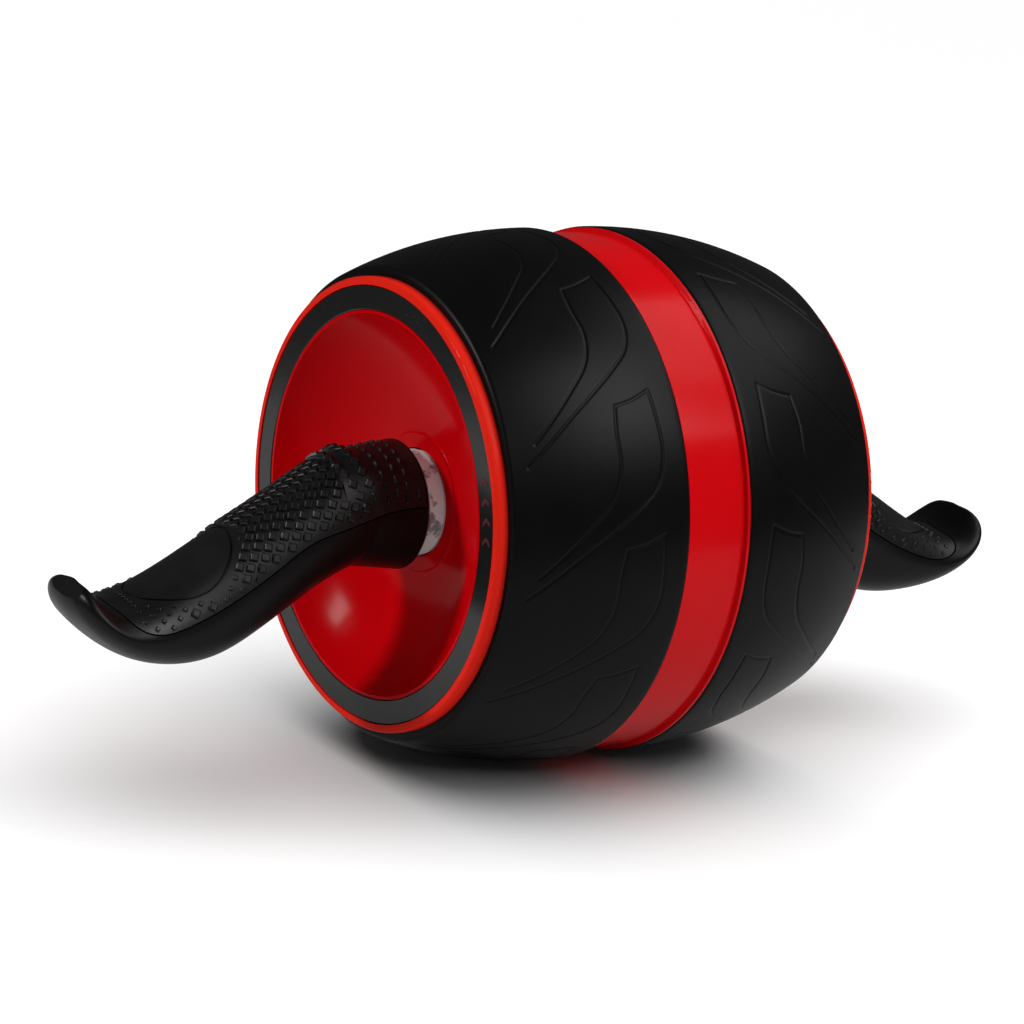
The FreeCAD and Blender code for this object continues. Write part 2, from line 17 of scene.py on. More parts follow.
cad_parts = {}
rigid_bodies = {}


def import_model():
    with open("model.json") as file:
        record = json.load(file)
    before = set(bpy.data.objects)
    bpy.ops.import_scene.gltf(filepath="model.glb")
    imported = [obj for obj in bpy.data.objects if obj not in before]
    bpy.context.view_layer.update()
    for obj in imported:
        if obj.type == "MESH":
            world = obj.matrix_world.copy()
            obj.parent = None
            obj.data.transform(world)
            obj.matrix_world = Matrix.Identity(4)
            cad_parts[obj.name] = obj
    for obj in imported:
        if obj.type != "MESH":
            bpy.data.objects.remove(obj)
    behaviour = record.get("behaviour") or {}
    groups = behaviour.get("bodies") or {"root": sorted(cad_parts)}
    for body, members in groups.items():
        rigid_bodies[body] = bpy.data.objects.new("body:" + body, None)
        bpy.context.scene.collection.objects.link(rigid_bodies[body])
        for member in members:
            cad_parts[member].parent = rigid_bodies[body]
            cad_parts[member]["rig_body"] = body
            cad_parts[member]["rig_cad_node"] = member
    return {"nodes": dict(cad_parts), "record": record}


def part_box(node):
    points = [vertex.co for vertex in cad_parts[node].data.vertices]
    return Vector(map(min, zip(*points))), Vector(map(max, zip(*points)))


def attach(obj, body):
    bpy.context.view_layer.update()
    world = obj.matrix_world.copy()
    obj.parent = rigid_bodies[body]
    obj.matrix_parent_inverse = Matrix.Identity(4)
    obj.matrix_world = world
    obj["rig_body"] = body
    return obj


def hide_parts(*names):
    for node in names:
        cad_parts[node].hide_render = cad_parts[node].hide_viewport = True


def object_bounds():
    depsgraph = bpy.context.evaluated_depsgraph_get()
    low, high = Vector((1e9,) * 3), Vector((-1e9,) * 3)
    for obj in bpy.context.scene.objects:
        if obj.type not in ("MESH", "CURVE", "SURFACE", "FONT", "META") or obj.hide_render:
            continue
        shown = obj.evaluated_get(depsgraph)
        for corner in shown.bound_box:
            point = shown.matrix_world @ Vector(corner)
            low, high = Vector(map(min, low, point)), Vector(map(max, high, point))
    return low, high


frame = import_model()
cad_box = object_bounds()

MM = 0.001
nodes = frame["nodes"]
print("nodes", len(nodes), "box", [round(v, 4) for corner in cad_box for v in corner])

# %% [markdown]
# ## Working by hand, in code
#
# An operator acts on whatever is selected, and the loaded nodes are all selected. So each piece starts
# with an empty selection. The helpers below enter and leave edit mode, pick faces by a test on their place,
# and finish a piece: doubles merged, faces pointing outwards, smooth shading broken only at real edges.

# %% Edit-mode helpers
MERGE_DISTANCE = 0.002 * MM
SHADE_ANGLE = 35


def only(piece):
    """Select this piece alone and make it active."""
    bpy.ops.object.select_all(action="DESELECT")
    piece.select_set(True)
    bpy.context.view_layer.objects.active = piece


def edit(piece, mode="FACE"):
    only(piece)
    bpy.ops.object.mode_set(mode="EDIT")
    bpy.ops.mesh.select_mode(type=mode)


def done():
    bpy.ops.object.mode_set(mode="OBJECT")


def pick_faces(piece, test):
    """Select the faces whose centre passes the test, and return how many there are."""
    edit(piece)
    bpy.ops.mesh.select_all(action="DESELECT")
    done()
    count = 0
    for face in piece.data.polygons:
        face.select = bool(test(face))
        count += face.select
    edit(piece)
    return count


def named(name):
    piece = bpy.context.object
    piece.name = name
    piece.data.name = name
    return piece


def finish_mesh(piece, angle=SHADE_ANGLE):
    """Merge doubles, turn the faces outwards and shade smooth up to an angle in degrees."""
    edit(piece)
    bpy.ops.mesh.select_all(action="SELECT")
    bpy.ops.mesh.remove_doubles(threshold=MERGE_DISTANCE)
    bpy.ops.mesh.normals_make_consistent(inside=False)
    done()
    bpy.ops.object.shade_smooth_by_angle(angle=math.radians(angle))


# %% Spin, mirror, copy and join
def turned(name, outline, steps):
    """Draw a closed outline of (y, radius) from a circle's vertices and spin it round the axle."""
    bpy.ops.object.select_all(action="DESELECT")
    bpy.ops.mesh.primitive_circle_add(vertices=len(outline), radius=1)
    piece = named(name)
    for vertex, (y, radius) in zip(piece.data.vertices, outline):
        vertex.co = (0, y, radius)
    edit(piece, "VERT")
    bpy.ops.mesh.select_all(action="SELECT")
    bpy.ops.mesh.spin(steps=steps, angle=2 * math.pi, center=(0, 0, 0), axis=(0, 1, 0))
    done()
    finish_mesh(piece)
    return piece


def mirrored(piece, name):
    """The same piece on the other side of the wheel, with its own mesh."""
    only(piece)
    bpy.ops.object.duplicate()
    copy = named(name)
    edit(copy)
    bpy.ops.mesh.select_all(action="SELECT")
    bpy.ops.transform.mirror(constraint_axis=(False, True, False), center_override=(0, 0, 0))
    bpy.ops.mesh.normals_make_consistent(inside=False)
    done()
    return copy


def copied_node(node, name):
    """A copy of a construction node, free of its body, with its loose triangles merged."""
    only(nodes[node])
    bpy.ops.object.duplicate()
    bpy.ops.object.parent_clear(type="CLEAR_KEEP_TRANSFORM")
    piece = named(name)
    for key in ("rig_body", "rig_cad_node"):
        del piece[key]
    bpy.ops.mesh.customdata_custom_splitnormals_clear()
    edit(piece)
    bpy.ops.mesh.select_all(action="SELECT")
    bpy.ops.mesh.remove_doubles(threshold=MERGE_DISTANCE)
    done()
    bpy.ops.object.shade_smooth_by_angle(angle=math.radians(SHADE_ANGLE))
    return piece


def join(piece, others):
    only(piece)
    for other in others:
        other.select_set(True)
    bpy.ops.object.join()
    return piece


def arc(centre, radius, start, end, count):
    """Points (y, r) on an arc, angles in degrees from +r towards +y."""
    points = []
    for k in range(count):
        turn = math.radians(start + (end - start) * k / (count - 1))
        points.append((centre[0] + radius * math.sin(turn), centre[1] + radius * math.cos(turn)))
    return points


# %% [markdown]
# ## The tyres
#
# Each tyre is one rubber moulding with a crowned tread. Outlines of curved blades are pressed into it as
# soft, shallow grooves, so a boolean cut would look too sharp. Instead the tyre is spun from its section,
# the faces that lie near a groove are subdivided, and those points are pushed in along the crown's normal
# by a rounded groove profile. The plain stretches stay coarse, which keeps the mesh light.

# %% Tyre sizes
tyre_low, tyre_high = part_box("right_tyre")
wheel_radius = tyre_high.z
band_edge = tyre_low.y
tyre_end = tyre_high.y
tyre_width = tyre_end - band_edge
CROWN_ARC = 166 * MM
TYRE_THICKNESS = 5.9 * MM
TYRE_SHOULDER = 2.2 * MM
TYRE_INNER_EDGE = 0.9 * MM
TYRE_LAP = 3.5 * MM
RIM_STEP = 1.2 * MM
crown_centre = wheel_radius - CROWN_ARC
print("tyre radius", round(wheel_radius, 4), "width", round(tyre_width, 4))


def crown(y, depth=0.0):
    """Radius of the crown at y, depth below the rubber's surface."""
    return crown_centre + math.sqrt((CROWN_ARC - depth) ** 2 - (y - band_edge) ** 2)


# %% Tyre section, spun
TYRE_STEPS = 288
CROWN_ROWS = 40
SEAT_ROWS = 8
EDGE_POINTS = 5
SHOULDER_POINTS = 7


def tyre_outline():
    """The tyre's section: inner edge, crown, shoulder, lap over the rim, and the seat on the hub."""
    start = band_edge
    shoulder = tyre_end - TYRE_SHOULDER
    flange = tyre_end - TYRE_LAP
    first = start + TYRE_INNER_EDGE
    points = arc((first, wheel_radius - TYRE_INNER_EDGE), TYRE_INNER_EDGE, -90, 0, EDGE_POINTS)
    for k in range(1, CROWN_ROWS + 1):
        y = first + (shoulder - first) * k / CROWN_ROWS
        points.append((y, crown(y)))
    slope = math.degrees(math.asin((shoulder - start) / CROWN_ARC))
    turn = math.radians(slope)
    middle = (shoulder - TYRE_SHOULDER * math.sin(turn), crown(shoulder) - TYRE_SHOULDER * math.cos(turn))
    points += arc(middle, TYRE_SHOULDER, slope, 90, SHOULDER_POINTS)[1:]
    lap = crown(shoulder) - TYRE_SHOULDER - RIM_STEP
    points += [(points[-1][0], lap), (flange, lap)]
    for k in range(SEAT_ROWS + 1):
        y = flange + (start - flange) * k / SEAT_ROWS
        points.append((y, crown(y, TYRE_THICKNESS)))
    return points


right_tyre = turned("right_tyre_tread", tyre_outline(), TYRE_STEPS)
print("tyre faces before the tread", len(right_tyre.data.polygons))

# %% [markdown]
# A blade is drawn by three lines on the crown: its edge by the band, its edge by the rim, and its blunt
# end between them. Each point gives degrees round the wheel and a share of the tyre's width. A smooth line
# runs through the points, and twelve blades go round the wheel.

# %% Tread lines
BLADES = 12
BLADE_TURN = -5.9
BLADE_BAND_EDGE = [
    (-0.9, 0.160), (6.0, 0.149), (13.0, 0.149), (19.0, 0.202), (24.0, 0.331), (33.5, 0.636), (43.0, 0.893),
]
BLADE_RIM_EDGE = [(1.9, 0.379), (8.0, 0.403), (15.0, 0.407), (21.5, 0.466), (27.5, 0.595), (38.0, 0.843)]
BLADE_BLUNT_END = [BLADE_BAND_EDGE[0], (1.0, 0.273), BLADE_RIM_EDGE[0]]
LINE_PARTS = 110


def on_crown(angle, share):
    y = band_edge + share * tyre_width
    turn = math.radians(angle)
    return Vector((crown(y) * math.sin(turn), y, crown(y) * math.cos(turn)))


def between(t, p, q, r, s):
    """A Catmull-Rom curve's value at t of the way from q to r, where p comes before and s after them."""
    square = 2 * p - 5 * q + 4 * r - s
    cube = 3 * q - p - 3 * r + s
    return 0.5 * (2 * q + (r - p) * t + square * t ** 2 + cube * t ** 3)


def smooth_line(points, parts):
    """A curve through the points, with this many parts between neighbours."""
    ends = [points[0], *points, points[-1]]
    line = []
    for a, b, c, d in zip(ends, ends[1:], ends[2:], ends[3:]):
        for k in range(parts):
            line.append(tuple(between(k / parts, *four) for four in zip(a, b, c, d)))
    return line + [points[-1]]


groove_points = []
for blade in range(BLADES):
    for line in (BLADE_BAND_EDGE, BLADE_RIM_EDGE, BLADE_BLUNT_END):
        for angle, share in smooth_line(line, LINE_PARTS):
            groove_points.append(on_crown(angle + BLADE_TURN + blade * 360 / BLADES, share))
groove_tree = KDTree(len(groove_points))
for index, point in enumerate(groove_points):
    groove_tree.insert(point, index)
groove_tree.balance()
print("tread points", len(groove_points))

# %% [markdown]
# A moulded groove has a round floor and no hard edge. Each point near a line goes in by a cosine of its
# distance from it. The reach for finer faces covers the groove's half width and half the diagonal of a coarse
# face, so that no face with a groove in it stays coarse.

# %% Press the tread into the rubber
GROOVE_HALF_WIDTH = 0.85 * MM
GROOVE_DEPTH = 0.27 * MM
GROOVE_CUTS = 4
REFINE_REACH = 2.15 * MM
CROWN_TOLERANCE = 0.06 * MM
TREAD_SHADE_ANGLE = 50


def is_crown(co):
    if not band_edge + 0.5 * TYRE_INNER_EDGE < co.y < tyre_end - 0.5 * TYRE_SHOULDER:
        return False
    return abs(math.hypot(co.x, co.z) - crown(co.y)) < CROWN_TOLERANCE


def near_groove(face):
    return is_crown(face.center) and groove_tree.find(face.center)[2] < REFINE_REACH


def press_tread(piece):
    """Refine the crown beside the lines, push the grooves in, and return how many faces were refined."""
    count = pick_faces(piece, near_groove)
    bpy.ops.mesh.subdivide(number_cuts=GROOVE_CUTS)
    done()
    for vertex in piece.data.vertices:
        co = vertex.co
        if not is_crown(co):
            continue
        outward = Vector((co.x, 0, co.z)).normalized()
        normal = (outward * (crown(co.y) - crown_centre) + Vector((0, co.y - band_edge, 0))).normalized()
        distance = groove_tree.find(co)[2] / GROOVE_HALF_WIDTH
        depth = GROOVE_DEPTH * 0.5 * (1 + math.cos(math.pi * min(distance, 1)))
        vertex.co = outward * crown(co.y) + Vector((0, co.y, 0)) - normal * depth
    piece.data.update()
    return count


print("faces refined", press_tread(right_tyre))
bpy.ops.object.shade_smooth_by_angle(angle=math.radians(TREAD_SHADE_ANGLE))
left_tyre = mirrored(right_tyre, "left_tyre_tread")
print("tyre faces with the tread", len(right_tyre.data.polygons))

# %% [markdown]
# ## The grips
#
# The soft pad wraps the top of each handle. Its studs are small flat-topped diamonds in staggered rows,
# with short bars on the neck and a smooth oval where the palm presses. Towards the tip, and wherever a full
# stud doesn't fit beside the seam or the oval, they shrink. A bump in the shader would leave the outline
# smooth, so they are real shapes: each kind is modelled once from a cube, and copied.

# %% One stud, one bar
STUD_SIZE = 3.3 * MM
STUD_HEIGHT = 0.95 * MM
STUD_TOP = 0.68
STUD_SUNK = 0.35 * MM
SMALL_SIZE = 2.0 * MM
SMALL_HEIGHT = 0.6 * STUD_HEIGHT
BAR_LENGTH = 3.4 * MM
BAR_WIDTH = 1.2 * MM
BAR_HEIGHT = 0.8 * STUD_HEIGHT
NARROW_TOP = 0.6
SOFT_EDGE = 0.16
STUD_SHADE_ANGLE = 25
UPWARD = 0.9


def raised_block(name, length, width, height, top_share):
    """A block on the surface: narrowed at the top, with softened edges."""
    bpy.ops.object.select_all(action="DESELECT")
    bpy.ops.mesh.primitive_cube_add(size=1)
    block = named(name)
    for vertex in block.data.vertices:
        vertex.co = Vector((vertex.co.x * length, vertex.co.y * width, (vertex.co.z + 0.5) * height))
    pick_faces(block, lambda face: face.normal.z > UPWARD)
    bpy.ops.transform.resize(value=(top_share, top_share, 1))
    bpy.ops.mesh.select_all(action="SELECT")
    bpy.ops.mesh.bevel(offset=SOFT_EDGE * height, segments=1, affect="EDGES")
    done()
    finish_mesh(block, STUD_SHADE_ANGLE)
    return block


stud = raised_block("grip_stud", STUD_SIZE, STUD_SIZE, STUD_HEIGHT + STUD_SUNK, STUD_TOP)
small_stud = raised_block("grip_small_stud", SMALL_SIZE, SMALL_SIZE, SMALL_HEIGHT + STUD_SUNK, NARROW_TOP)
bar = raised_block("grip_bar", BAR_WIDTH, BAR_LENGTH, BAR_HEIGHT + STUD_SUNK, NARROW_TOP)
print("stud faces", len(stud.data.polygons))

# %% [markdown]
# The rows of studs follow the handle's middle line, which droops towards the tip. At even steps along it,
# rays are cast inwards from a fan of directions. Where one meets the pad, a stud can stand on the surface's
# normal. An array along a curve would need the pad's shape as a formula, and a ray needs none.

# %% The handle's middle line
# Points as (y, z) in mm
SPINE = [(68.6, 0), (78, 1.5), (87, 1.5), (96, -2.5), (106, -7.5), (120, -15.5), (134, -23.5), (148.5, -30),
         (163, -33.5), (176, -33.5)]
SPINE_PARTS = 24
STUD_PITCH = 3.25 * MM

spine = smooth_line([(y * MM, z * MM) for y, z in SPINE], SPINE_PARTS)


def spine_stations(pitch):
    """Points at an even pitch on the middle line, each with the line's direction and upward normal."""
    stations = []
    travelled = pitch
    for (y, z), (next_y, next_z) in zip(spine, spine[1:]):
        along = Vector((0, next_y - y, next_z - z))
        travelled += along.length
        if travelled >= pitch:
            travelled -= pitch
            along.normalize()
            stations.append((Vector((0, y, z)), along, Vector((0, -along.z, along.y))))
    return stations


print("rows of studs", len(spine_stations(STUD_PITCH)))

# %% Where a stud fits
PALM_REST = Vector((0, 145.1 * MM, -30 * MM))
PALM_REST_LENGTH = 20.5 * MM
PALM_REST_WIDTH = 17 * MM
PALM_REST_SLOPE = math.radians(28)
FAR = 60 * MM
HANDLE_LEAST_RADIUS = 8 * MM
LEAST_FACING = 0.3


def in_palm_rest(point, margin):
    """Whether a point lies in the smooth oval, widened by a margin."""
    along = (point - PALM_REST).dot(Vector((0, math.cos(PALM_REST_SLOPE), -math.sin(PALM_REST_SLOPE))))
    return (along / (PALM_REST_LENGTH + margin)) ** 2 + (point.x / (PALM_REST_WIDTH + margin)) ** 2 < 1


def pad_hit(tree, centre, direction):
    """Where a ray from outside meets the pad's outer face, or nothing."""
    place, normal, index, distance = tree.ray_cast(centre + direction * FAR, -direction)
    if place is None or normal.dot(direction) < LEAST_FACING or distance > FAR - HANDLE_LEAST_RADIUS:
        return None
    return place, normal


def fits(tree, centre, along, up, turn, hit, edge):
    """Whether the pad reaches this far on all four sides of a place, outside the palm rest."""
    place, normal = hit
    if in_palm_rest(place, edge):
        return False
    direction = up * math.cos(turn) + Vector((math.sin(turn), 0, 0))
    ahead = normal.cross(along).normalized().cross(normal) * edge
    spread = edge / (place - centre).length
    around = [pad_hit(tree, centre + ahead, direction), pad_hit(tree, centre - ahead, direction)]
    for shift in (spread, -spread):
        tilted = up * math.cos(turn + shift) + Vector((math.sin(turn + shift), 0, 0))
        around.append(pad_hit(tree, centre, tilted))
    return None not in around


# %% Places of the studs
STUD_ANGLE = 13.5
PAD_HALF_ANGLE = 100
NECK_END = 22 * MM
TIP_START = 158 * MM
STUD_EDGE = 2.3 * MM
SMALL_EDGE = 1.3 * MM


def stud_places(tree):
    """Matrices of the studs, of the small studs and of the bars on the right pad."""
    studs, small_studs, bars = [], [], []
    for row, (centre, along, up) in enumerate(spine_stations(STUD_PITCH)):
        count = int(PAD_HALF_ANGLE / STUD_ANGLE)
        for k in range(-count, count + 1):
            turn = math.radians((k + 0.5 * (row % 2)) * STUD_ANGLE)
            hit = pad_hit(tree, centre, up * math.cos(turn) + Vector((math.sin(turn), 0, 0)))
            if hit is None or not fits(tree, centre, along, up, turn, hit, SMALL_EDGE):
                continue
            place, normal = hit
            full = place.y < TIP_START and fits(tree, centre, along, up, turn, hit, STUD_EDGE)
            side = normal.cross(along).normalized()
            ahead = side.cross(normal)
            on_neck = place.y - spine[0][0] < NECK_END
            axes = (ahead, side)
            if not on_neck:
                axes = ((ahead + side) / math.sqrt(2), (side - ahead) / math.sqrt(2))
            matrix = Matrix((*axes, normal)).transposed().to_4x4()
            matrix.translation = place - normal * STUD_SUNK
            if not on_neck:
                (studs if full else small_studs).append(matrix)
            elif full:
                bars.append(matrix)
    return studs, small_studs, bars


# %% Set the studs down
def set_down(shape, matrices):
    """Copies of a shape, each with its own mesh, at the given places."""
    copies = []
    for matrix in matrices:
        copy = shape.copy()
        copy.data = shape.data.copy()
        copy.data.transform(matrix)
        bpy.context.collection.objects.link(copy)
        copies.append(copy)
    return copies


right_grip = copied_node("right_grip_pad", "right_grip")
pad_tree = BVHTree.FromObject(right_grip, bpy.context.evaluated_depsgraph_get())
studs, small_studs, bars = stud_places(pad_tree)
join(right_grip, set_down(stud, studs) + set_down(small_stud, small_studs) + set_down(bar, bars))
left_grip = mirrored(right_grip, "left_grip")
for shape in (stud, small_stud, bar):
    bpy.data.objects.remove(shape)
print("studs", len(studs), "small", len(small_studs), "bars", len(bars))
print("grip faces", len(right_grip.data.polygons))

# %% [markdown]
# ## Marks on the trim rings
#
# Four small printed chevrons climb the front of each ring. Without an image, print can be a shader mask or
# thin geometry, and geometry keeps its edge sharp at any distance. One is drawn flat, given a hair of
# thickness, and copied round the ring.

# %% Chevrons
ring_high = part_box("right_trim_ring")[1]
RING_HALF_WIDTH = 4.3 * MM
MARK_ANGLES = (69.0, 74.2, 79.4, 84.6)
MARK_HALF = 2.1 * MM
MARK_RISE = 1.7 * MM
MARK_STROKE = 1.5 * MM
MARK_HEIGHT = 0.12 * MM
MARK_SUNK = 0.05 * MM
MARK_SHADE_ANGLE = 20
ring_middle = ring_high.z - RING_HALF_WIDTH


def chevron(name):
    """A flat chevron that points along +Y, raised along +Z."""
    bpy.ops.object.select_all(action="DESELECT")
    bpy.ops.mesh.primitive_circle_add(vertices=6, fill_type="NGON")
    piece = named(name)
    corners = [(-MARK_HALF, 0), (0, MARK_RISE), (MARK_HALF, 0), (MARK_HALF, MARK_STROKE),
               (0, MARK_RISE + MARK_STROKE), (-MARK_HALF, MARK_STROKE)]
    for vertex, (x, y) in zip(piece.data.vertices, corners):
        vertex.co = (x, y, 0)
    edit(piece)
    bpy.ops.mesh.select_all(action="SELECT")
    bpy.ops.mesh.extrude_region_move(TRANSFORM_OT_translate={"value": (0, 0, MARK_HEIGHT + MARK_SUNK)})
    done()
    finish_mesh(piece, MARK_SHADE_ANGLE)
    return piece


def mark_place(angle):
    """The matrix of a chevron on the right ring, at degrees from the top."""
    turn = math.radians(angle)
    outward = Vector((math.sin(turn), 0, math.cos(turn)))
    rising = Vector((-math.cos(turn), 0, math.sin(turn)))
    sideways = Vector((0, 1, 0))
    matrix = Matrix((rising.cross(sideways), rising, sideways)).transposed().to_4x4()
    ring_face = Vector((0, ring_high.y - MARK_SUNK, 0))
    matrix.translation = outward * ring_middle + ring_face - rising * MARK_RISE
    return matrix


mark = chevron("chevron")
marks = set_down(mark, [mark_place(angle) for angle in MARK_ANGLES])
right_marks = join(marks[0], marks[1:])
right_marks.name = "right_ring_marks"
left_marks = mirrored(right_marks, "left_ring_marks")
bpy.data.objects.remove(mark)
print("mark faces", len(right_marks.data.polygons))

# %% [markdown]
# ## Finishes
#
# Shader sums read best as sums, so a small class wraps a node's output and lets Python's operators add the
# Math nodes. Every finish is a Principled shader whose colour, roughness and fine relief come from noise
# on Object coordinates, at the scale of the real moulding.

# %% Shader sums
class Term:
    """The output of a node, for use in sums."""

    def __init__(self, finish, output):
        self.finish = finish
        self.output = output

    def math(self, operation, first, second):
        return self.finish.node("ShaderNodeMath", {"operation": operation}, {0: first, 1: second})

    def __add__(self, other):
        return self.math("ADD", self, other)

    def __radd__(self, other):
        return self.math("ADD", other, self)

    def __mul__(self, other):
        return self.math("MULTIPLY", self, other)

    def __rmul__(self, other):
        return self.math("MULTIPLY", other, self)

    def __pow__(self, other):
        return self.math("POWER", self, other)


# %% A material with one Principled shader
class Finish:
    """A material whose values come from constants and from terms."""

    def __init__(self, name, **constants):
        self.material = bpy.data.materials.new(name)
        self.material.use_nodes = True
        self.tree = self.material.node_tree
        self.shader = self.tree.nodes["Principled BSDF"]
        for socket, value in constants.items():
            self.shader.inputs[socket.replace("_", " ")].default_value = value

    def node(self, kind, settings, inputs, output=0):
        made = self.tree.nodes.new(kind)
        for setting, value in settings.items():
            setattr(made, setting, value)
        for socket, value in inputs.items():
            if isinstance(value, Term):
                self.tree.links.new(value.output, made.inputs[socket])
            else:
                made.inputs[socket].default_value = value
        return Term(self, made.outputs[output])

    def feed(self, socket, value):
        self.tree.links.new(value.output, self.shader.inputs[socket])

    def place(self):
        return self.node("ShaderNodeTexCoord", {}, {}, "Object")

    def axis(self, letter):
        """One coordinate of the place."""
        return self.node("ShaderNodeSeparateXYZ", {}, {0: self.place()}, letter)

    def noise(self, size, detail=3.0, roughness=0.55):
        """Noise from 0 to 1 whose features are about this size."""
        inputs = {"Vector": self.place(), "Scale": 1 / size, "Detail": detail, "Roughness": roughness}
        return self.node("ShaderNodeTexNoise", {}, inputs)

    def steps(self, value, low, high):
        """0 below low, 1 above high, smooth between."""
        settings = {"interpolation_type": "SMOOTHSTEP"}
        inputs = {"Value": value, "From Min": low, "From Max": high}
        return self.node("ShaderNodeMapRange", settings, inputs)

    def mix(self, factor, first, second):
        """A blend of two colours, each a triple or a term."""
        settings = {"data_type": "RGBA"}
        first, second = (c if isinstance(c, Term) else (*c, 1) for c in (first, second))
        return self.node("ShaderNodeMix", settings, {0: factor, 6: first, 7: second}, 2)

    def relief(self, height, depth, strength=1.0):
        inputs = {"Height": height, "Distance": depth, "Strength": strength}
        self.feed("Normal", self.node("ShaderNodeBump", {}, inputs))


# %% [markdown]
# The rubber of the tyres is matt and slightly mottled, with a fine grain from its mould. The grips use a
# softer, finer-grained rubber. The hard plastic of the handles is a satin black with a spark-eroded grain,
# and the trim rings are gloss black with a little dust.

# %% Black finishes
def tyre_rubber():
    finish = Finish("tyre_rubber", Specular_IOR_Level=0.075)
    mottle = finish.noise(18 * MM)
    grain = finish.noise(0.5 * MM, 2)
    finish.feed("Base Color", finish.mix(mottle, (0.0014, 0.0014, 0.0014), (0.0030, 0.0030, 0.0030)))
    finish.feed("Roughness", 0.30 + mottle * 0.10 + grain * 0.06)
    finish.relief(grain, 0.05 * MM, 0.6)
    return finish.material


def grip_rubber():
    finish = Finish("grip_rubber", Specular_IOR_Level=0.28)
    mottle = finish.noise(9 * MM)
    grain = finish.noise(0.35 * MM, 2)
    finish.feed("Base Color", finish.mix(mottle, (0.0020, 0.0020, 0.0020), (0.0045, 0.0045, 0.0045)))
    finish.feed("Roughness", 0.32 + mottle * 0.12 + grain * 0.05)
    finish.relief(grain, 0.04 * MM, 0.6)
    return finish.material


def handle_plastic():
    finish = Finish("handle_plastic", Specular_IOR_Level=0.12)
    mottle = finish.noise(14 * MM)
    grain = finish.noise(0.3 * MM, 2)
    finish.feed("Base Color", finish.mix(mottle, (0.0018, 0.0018, 0.0018), (0.0035, 0.0035, 0.0035)))
    finish.feed("Roughness", 0.30 + mottle * 0.10 + grain * 0.04)
    finish.relief(grain, 0.02 * MM, 0.5)
    return finish.material


def trim_gloss():
    finish = Finish("trim_gloss", Specular_IOR_Level=0.28)
    film = finish.noise(25 * MM)
    dust = finish.steps(finish.noise(0.8 * MM, 4), 0.66, 0.74)
    finish.feed("Base Color", finish.mix(dust, (0.0080, 0.0080, 0.0078), (0.0300, 0.0300, 0.0290)))
    finish.feed("Roughness", 0.12 + film * 0.10 + dust * 0.2)
    return finish.material


# %% [markdown]
# The hub is injection-moulded red plastic with a faint ripple from the mould. Its rim, outside the trim ring,
# gets a brighter, more orange red than the dish: painted light, standing in for the light the rim bead
# catches while the dish lies in shade. Both are one piece, so the shader tells them apart by the distance
# from the axle. The band is a gloss red of its own.

# %% Red finishes
# Width of the blend from the dish's red into the painted light on the rim.
RIM_LIGHT_BLEND = 0.2 * MM


def red_plastic(name, deep, bright, gloss, specular):
    """A moulded red finish, and its clouded colour for the caller to feed."""
    finish = Finish(name, Specular_IOR_Level=specular)
    cloud = finish.noise(30 * MM)
    ripple = finish.noise(3 * MM, 2)
    finish.feed("Roughness", gloss + cloud * 0.08)
    finish.relief(ripple, 0.02 * MM, 0.4)
    return finish, finish.mix(cloud, deep, bright)


def hub_red():
    finish, red = red_plastic("hub_red", (0.42, 0.0002, 0.0020), (0.49, 0.0004, 0.0028), 0.14, 0.024)
    across = finish.axis("X")
    height = finish.axis("Z")
    radius = (across * across + height * height) ** 0.5
    # Painted light: outside the trim ring the hub's red turns brighter and more orange.
    rim = finish.steps(radius, ring_high.z - RIM_LIGHT_BLEND, ring_high.z + RIM_LIGHT_BLEND)
    finish.feed("Base Color", finish.mix(rim, red, (0.66, 0.016, 0.008)))
    return finish.material


def band_red():
    finish, red = red_plastic("band_red", (0.49, 0.0012, 0.0040), (0.56, 0.0025, 0.0050), 0.16, 0.08)
    finish.feed("Base Color", red)
    return finish.material


# %% [markdown]
# Nearly all the metal is hidden in the hub and handles. Each still gets its own finish: drawn steel on the
# axle, blued strip on the spring, zinc on the screws. The collar by the handle is white plastic with grey
# patches painted on it, a painted reflection of the handle.

# %% Metals and inner plastics
def metal(name, dark, light, low, high, size):
    finish = Finish(name, Metallic=1.0)
    cloud = finish.noise(size)
    scratch = finish.noise(0.4 * MM, 2)
    finish.feed("Base Color", finish.mix(cloud, dark, light))
    finish.feed("Roughness", low + cloud * (high - low))
    finish.relief(scratch, 0.005 * MM, 0.3)
    return finish.material


def plain_plastic(name, dark, light, low, high):
    finish = Finish(name)
    cloud = finish.noise(10 * MM)
    grain = finish.noise(0.4 * MM, 2)
    finish.feed("Base Color", finish.mix(cloud, dark, light))
    finish.feed("Roughness", low + cloud * (high - low))
    finish.relief(grain, 0.02 * MM, 0.5)
    return finish.material


def white_with_painted_reflection():
    finish = Finish("sleeve_white", Specular_IOR_Level=0.4)
    # Painted reflection: noisy grey patches on the white stand in for the handle reflected in the collar.
    painted_reflection_patches = finish.steps(finish.noise(8 * MM, 4, 0.6), 0.52, 0.62)
    cloud = finish.noise(5 * MM)
    finish.feed("Base Color", finish.mix(painted_reflection_patches, (0.68, 0.97, 0.98), (0.23, 0.32, 0.33)))
    finish.feed("Roughness", 0.22 + cloud * 0.15)
    return finish.material


